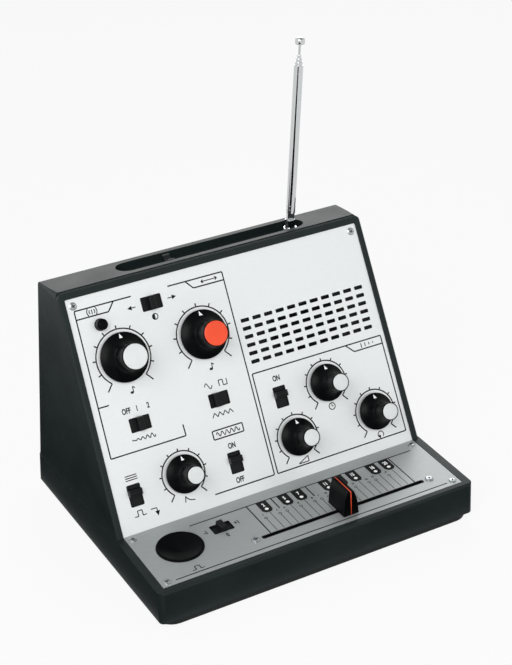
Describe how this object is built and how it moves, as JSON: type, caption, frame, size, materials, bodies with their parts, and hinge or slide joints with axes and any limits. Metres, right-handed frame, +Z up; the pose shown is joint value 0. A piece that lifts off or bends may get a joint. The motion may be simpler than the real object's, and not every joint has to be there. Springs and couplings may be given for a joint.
{
  "type": "theremin",
  "caption": "Desktop theremin: wedge case with sloping dial panel, slide-note deck, speaker grille and a folding telescopic antenna.",
  "frame": {"origin": "centre of the footprint at the table surface", "axes": "+Z up from the table, +Y to the back, +X to the player's right"},
  "size_m": [0.182, 0.159, 0.2376],
  "materials": {
    "case_plastic": "fine grained",
    "dark_plastic": "fine grained",
    "gloss_black": "polished",
    "white_cap": "satin",
    "orange_cap": "satin",
    "silver_panel": "satin, printed",
    "grey_panel": "satin, printed",
    "chromed": "polished",
    "steel": "plated",
    "board": "lacquered",
    "black_rubber": "plain",
    "cone_black": "pressed fibre",
    "cell_skin": "wrapped"
  },
  "bodies": {
    "case": {"base_tray": "case_plastic", "base_pan": "dark_plastic", "battery_cells": "cell_skin", "battery_contacts": "steel", "rubber_feet": "black_rubber", "case_screws": "steel", "upper_housing": "case_plastic", "front_frame": "case_plastic", "main_panel": "silver_panel", "apron_panel": "grey_panel", "panel_screws": "chromed", "slot_screws": "chromed", "circuit_boards": "board", "speaker_frame": "steel", "speaker_cone": "cone_black", "pot_housings": "steel", "pot_nuts": "steel", "switch_frames": "steel", "slide_track": "steel", "antenna_bush": "chromed", "antenna_clip": "dark_plastic", "rear_sockets": "dark_plastic"},
    "dial_pitch_left": {"knob_pitch_left": "gloss_black", "cap_pitch_left": "white_cap", "shaft_pitch_left": "steel"},
    "dial_pitch_right": {"knob_pitch_right": "gloss_black", "cap_pitch_right": "orange_cap", "shaft_pitch_right": "steel"},
    "dial_decay": {"knob_decay": "gloss_black", "cap_decay": "white_cap", "shaft_decay": "steel"},
    "dial_time": {"knob_time": "gloss_black", "cap_time": "white_cap", "shaft_time": "steel"},
    "dial_level": {"knob_level": "gloss_black", "cap_level": "white_cap", "shaft_level": "steel"},
    "dial_feedback": {"knob_feedback": "gloss_black", "cap_feedback": "white_cap", "shaft_feedback": "steel"},
    "volume": {"volume_knob": "dark_plastic"},
    "lever_mix": {"lever_mix": "dark_plastic"},
    "lever_waveform": {"lever_waveform": "dark_plastic"},
    "lever_modulation": {"lever_modulation": "dark_plastic"},
    "lever_drone": {"lever_drone": "dark_plastic"},
    "lever_vibrato": {"lever_vibrato": "dark_plastic"},
    "lever_delay": {"lever_delay": "dark_plastic"},
    "lever_octave": {"lever_octave": "dark_plastic"},
    "lever_power": {"lever_power": "dark_plastic"},
    "round_button": {"round_button": "dark_plastic"},
    "trigger_dish": {"trigger_dish": "gloss_black"},
    "slider": {"slide_carriage": "dark_plastic", "slide_fin": "gloss_black"},
    "battery_door": {"battery_door": "dark_plastic"},
    "antenna_swivel": {"antenna_swivel": "chromed"},
    "tube_1": {"antenna_tube_1": "chromed"},
    "tube_2": {"antenna_tube_2": "chromed"},
    "tube_3": {"antenna_tube_3": "chromed"},
    "tube_4": {"antenna_tube_4": "chromed"},
    "tip": {"antenna_tip": "chromed"}
  },
  "joints": [
    {"name": "turn_pitch_left", "type": "hinge", "parent": "case", "child": "dial_pitch_left", "pos_m": [-0.062, 0.00096, 0.10563], "axis": [0, -0.9033, 0.4289], "range_deg": [-140, 140]},
    {"name": "turn_pitch_right", "type": "hinge", "parent": "case", "child": "dial_pitch_right", "pos_m": [-0.0172, 0.00096, 0.10563], "axis": [0, -0.9033, 0.4289], "range_deg": [-140, 140]},
    {"name": "turn_decay", "type": "hinge", "parent": "case", "child": "dial_decay", "pos_m": [-0.0468, -0.02722, 0.04628], "axis": [0, -0.9033, 0.4289], "range_deg": [-140, 140]},
    {"name": "turn_time", "type": "hinge", "parent": "case", "child": "dial_time", "pos_m": [0.0444, -0.01744, 0.06688], "axis": [0, -0.9033, 0.4289], "range_deg": [-140, 140]},
    {"name": "turn_level", "type": "hinge", "parent": "case", "child": "dial_level", "pos_m": [0.0203, -0.02726, 0.04619], "axis": [0, -0.9033, 0.4289], "range_deg": [-140, 140]},
    {"name": "turn_feedback", "type": "hinge", "parent": "case", "child": "dial_feedback", "pos_m": [0.0686, -0.02722, 0.04628], "axis": [0, -0.9033, 0.4289], "range_deg": [-140, 140]},
    {"name": "turn_volume", "type": "hinge", "parent": "case", "child": "volume", "pos_m": [0.004, 0.07032, 0.05978], "axis": [0, 0.977, 0.2132], "range_deg": [-140, 140]},
    {"name": "switch_mix", "type": "slide", "parent": "case", "child": "lever_mix", "axis": [1, 0, 0], "range_m": [-0.002, 0.002]},
    {"name": "switch_waveform", "type": "slide", "parent": "case", "child": "lever_waveform", "axis": [1, 0, 0], "range_m": [0, 0.003]},
    {"name": "switch_modulation", "type": "slide", "parent": "case", "child": "lever_modulation", "axis": [1, 0, 0], "range_m": [-0.002, 0.002]},
    {"name": "switch_drone", "type": "slide", "parent": "case", "child": "lever_drone", "axis": [0, 0.4289, 0.9033], "range_m": [-0.003, 0]},
    {"name": "switch_vibrato", "type": "slide", "parent": "case", "child": "lever_vibrato", "axis": [0, 0.4289, 0.9033], "range_m": [-0.003, 0]},
    {"name": "switch_delay", "type": "slide", "parent": "case", "child": "lever_delay", "axis": [0, 0.4289, 0.9033], "range_m": [-0.003, 0]},
    {"name": "switch_octave", "type": "slide", "parent": "case", "child": "lever_octave", "axis": [1, 0, 0], "range_m": [-0.002, 0.002]},
    {"name": "switch_power", "type": "slide", "parent": "case", "child": "lever_power", "axis": [1, 0, 0], "range_m": [-0.003, 0]},
    {"name": "press_button", "type": "slide", "parent": "case", "child": "round_button", "axis": [0, -0.9033, 0.4289], "range_m": [-0.0009, 0], "stiffness_N_per_m": 200, "springref_m": 0.001},
    {"name": "press_trigger", "type": "slide", "parent": "case", "child": "trigger_dish", "axis": [0, -0.0476, 0.9989], "range_m": [-0.0009, 0], "stiffness_N_per_m": 300, "springref_m": 0.001},
    {"name": "slide_pitch", "type": "slide", "parent": "case", "child": "slider", "axis": [1, 0, 0], "range_m": [-0.04465, 0.04505]},
    {"name": "slide_door", "type": "slide", "parent": "case", "child": "battery_door", "axis": [0, 1, 0], "range_m": [0, 0.058]},
    {"name": "antenna_turn", "type": "hinge", "parent": "case", "child": "antenna_swivel", "pos_m": [0.0526, 0.03735, 0.1369], "axis": [0, 0, 1], "range_deg": [0, 360]},
    {"name": "antenna_fold", "type": "hinge", "parent": "antenna_swivel", "child": "tube_1", "pos_m": [0.0526, 0.03735, 0.1369], "axis": [0, 1, 0], "range_deg": [-96, 4]},
    {"name": "pull_tube_2", "type": "slide", "parent": "tube_1", "child": "tube_2", "axis": [0.1045, 0, 0.9945], "range_m": [0, 0.058]},
    {"name": "pull_tube_3", "type": "slide", "parent": "tube_2", "child": "tube_3", "axis": [0.1045, 0, 0.9945], "range_m": [0, 0.058]},
    {"name": "pull_tube_4", "type": "slide", "parent": "tube_3", "child": "tube_4", "axis": [0.1045, 0, 0.9945], "range_m": [0, 0.058]},
    {"name": "pull_tip", "type": "slide", "parent": "tube_4", "child": "tip", "axis": [0.1045, 0, 0.9945], "range_m": [0, 0.058]}
  ]
}
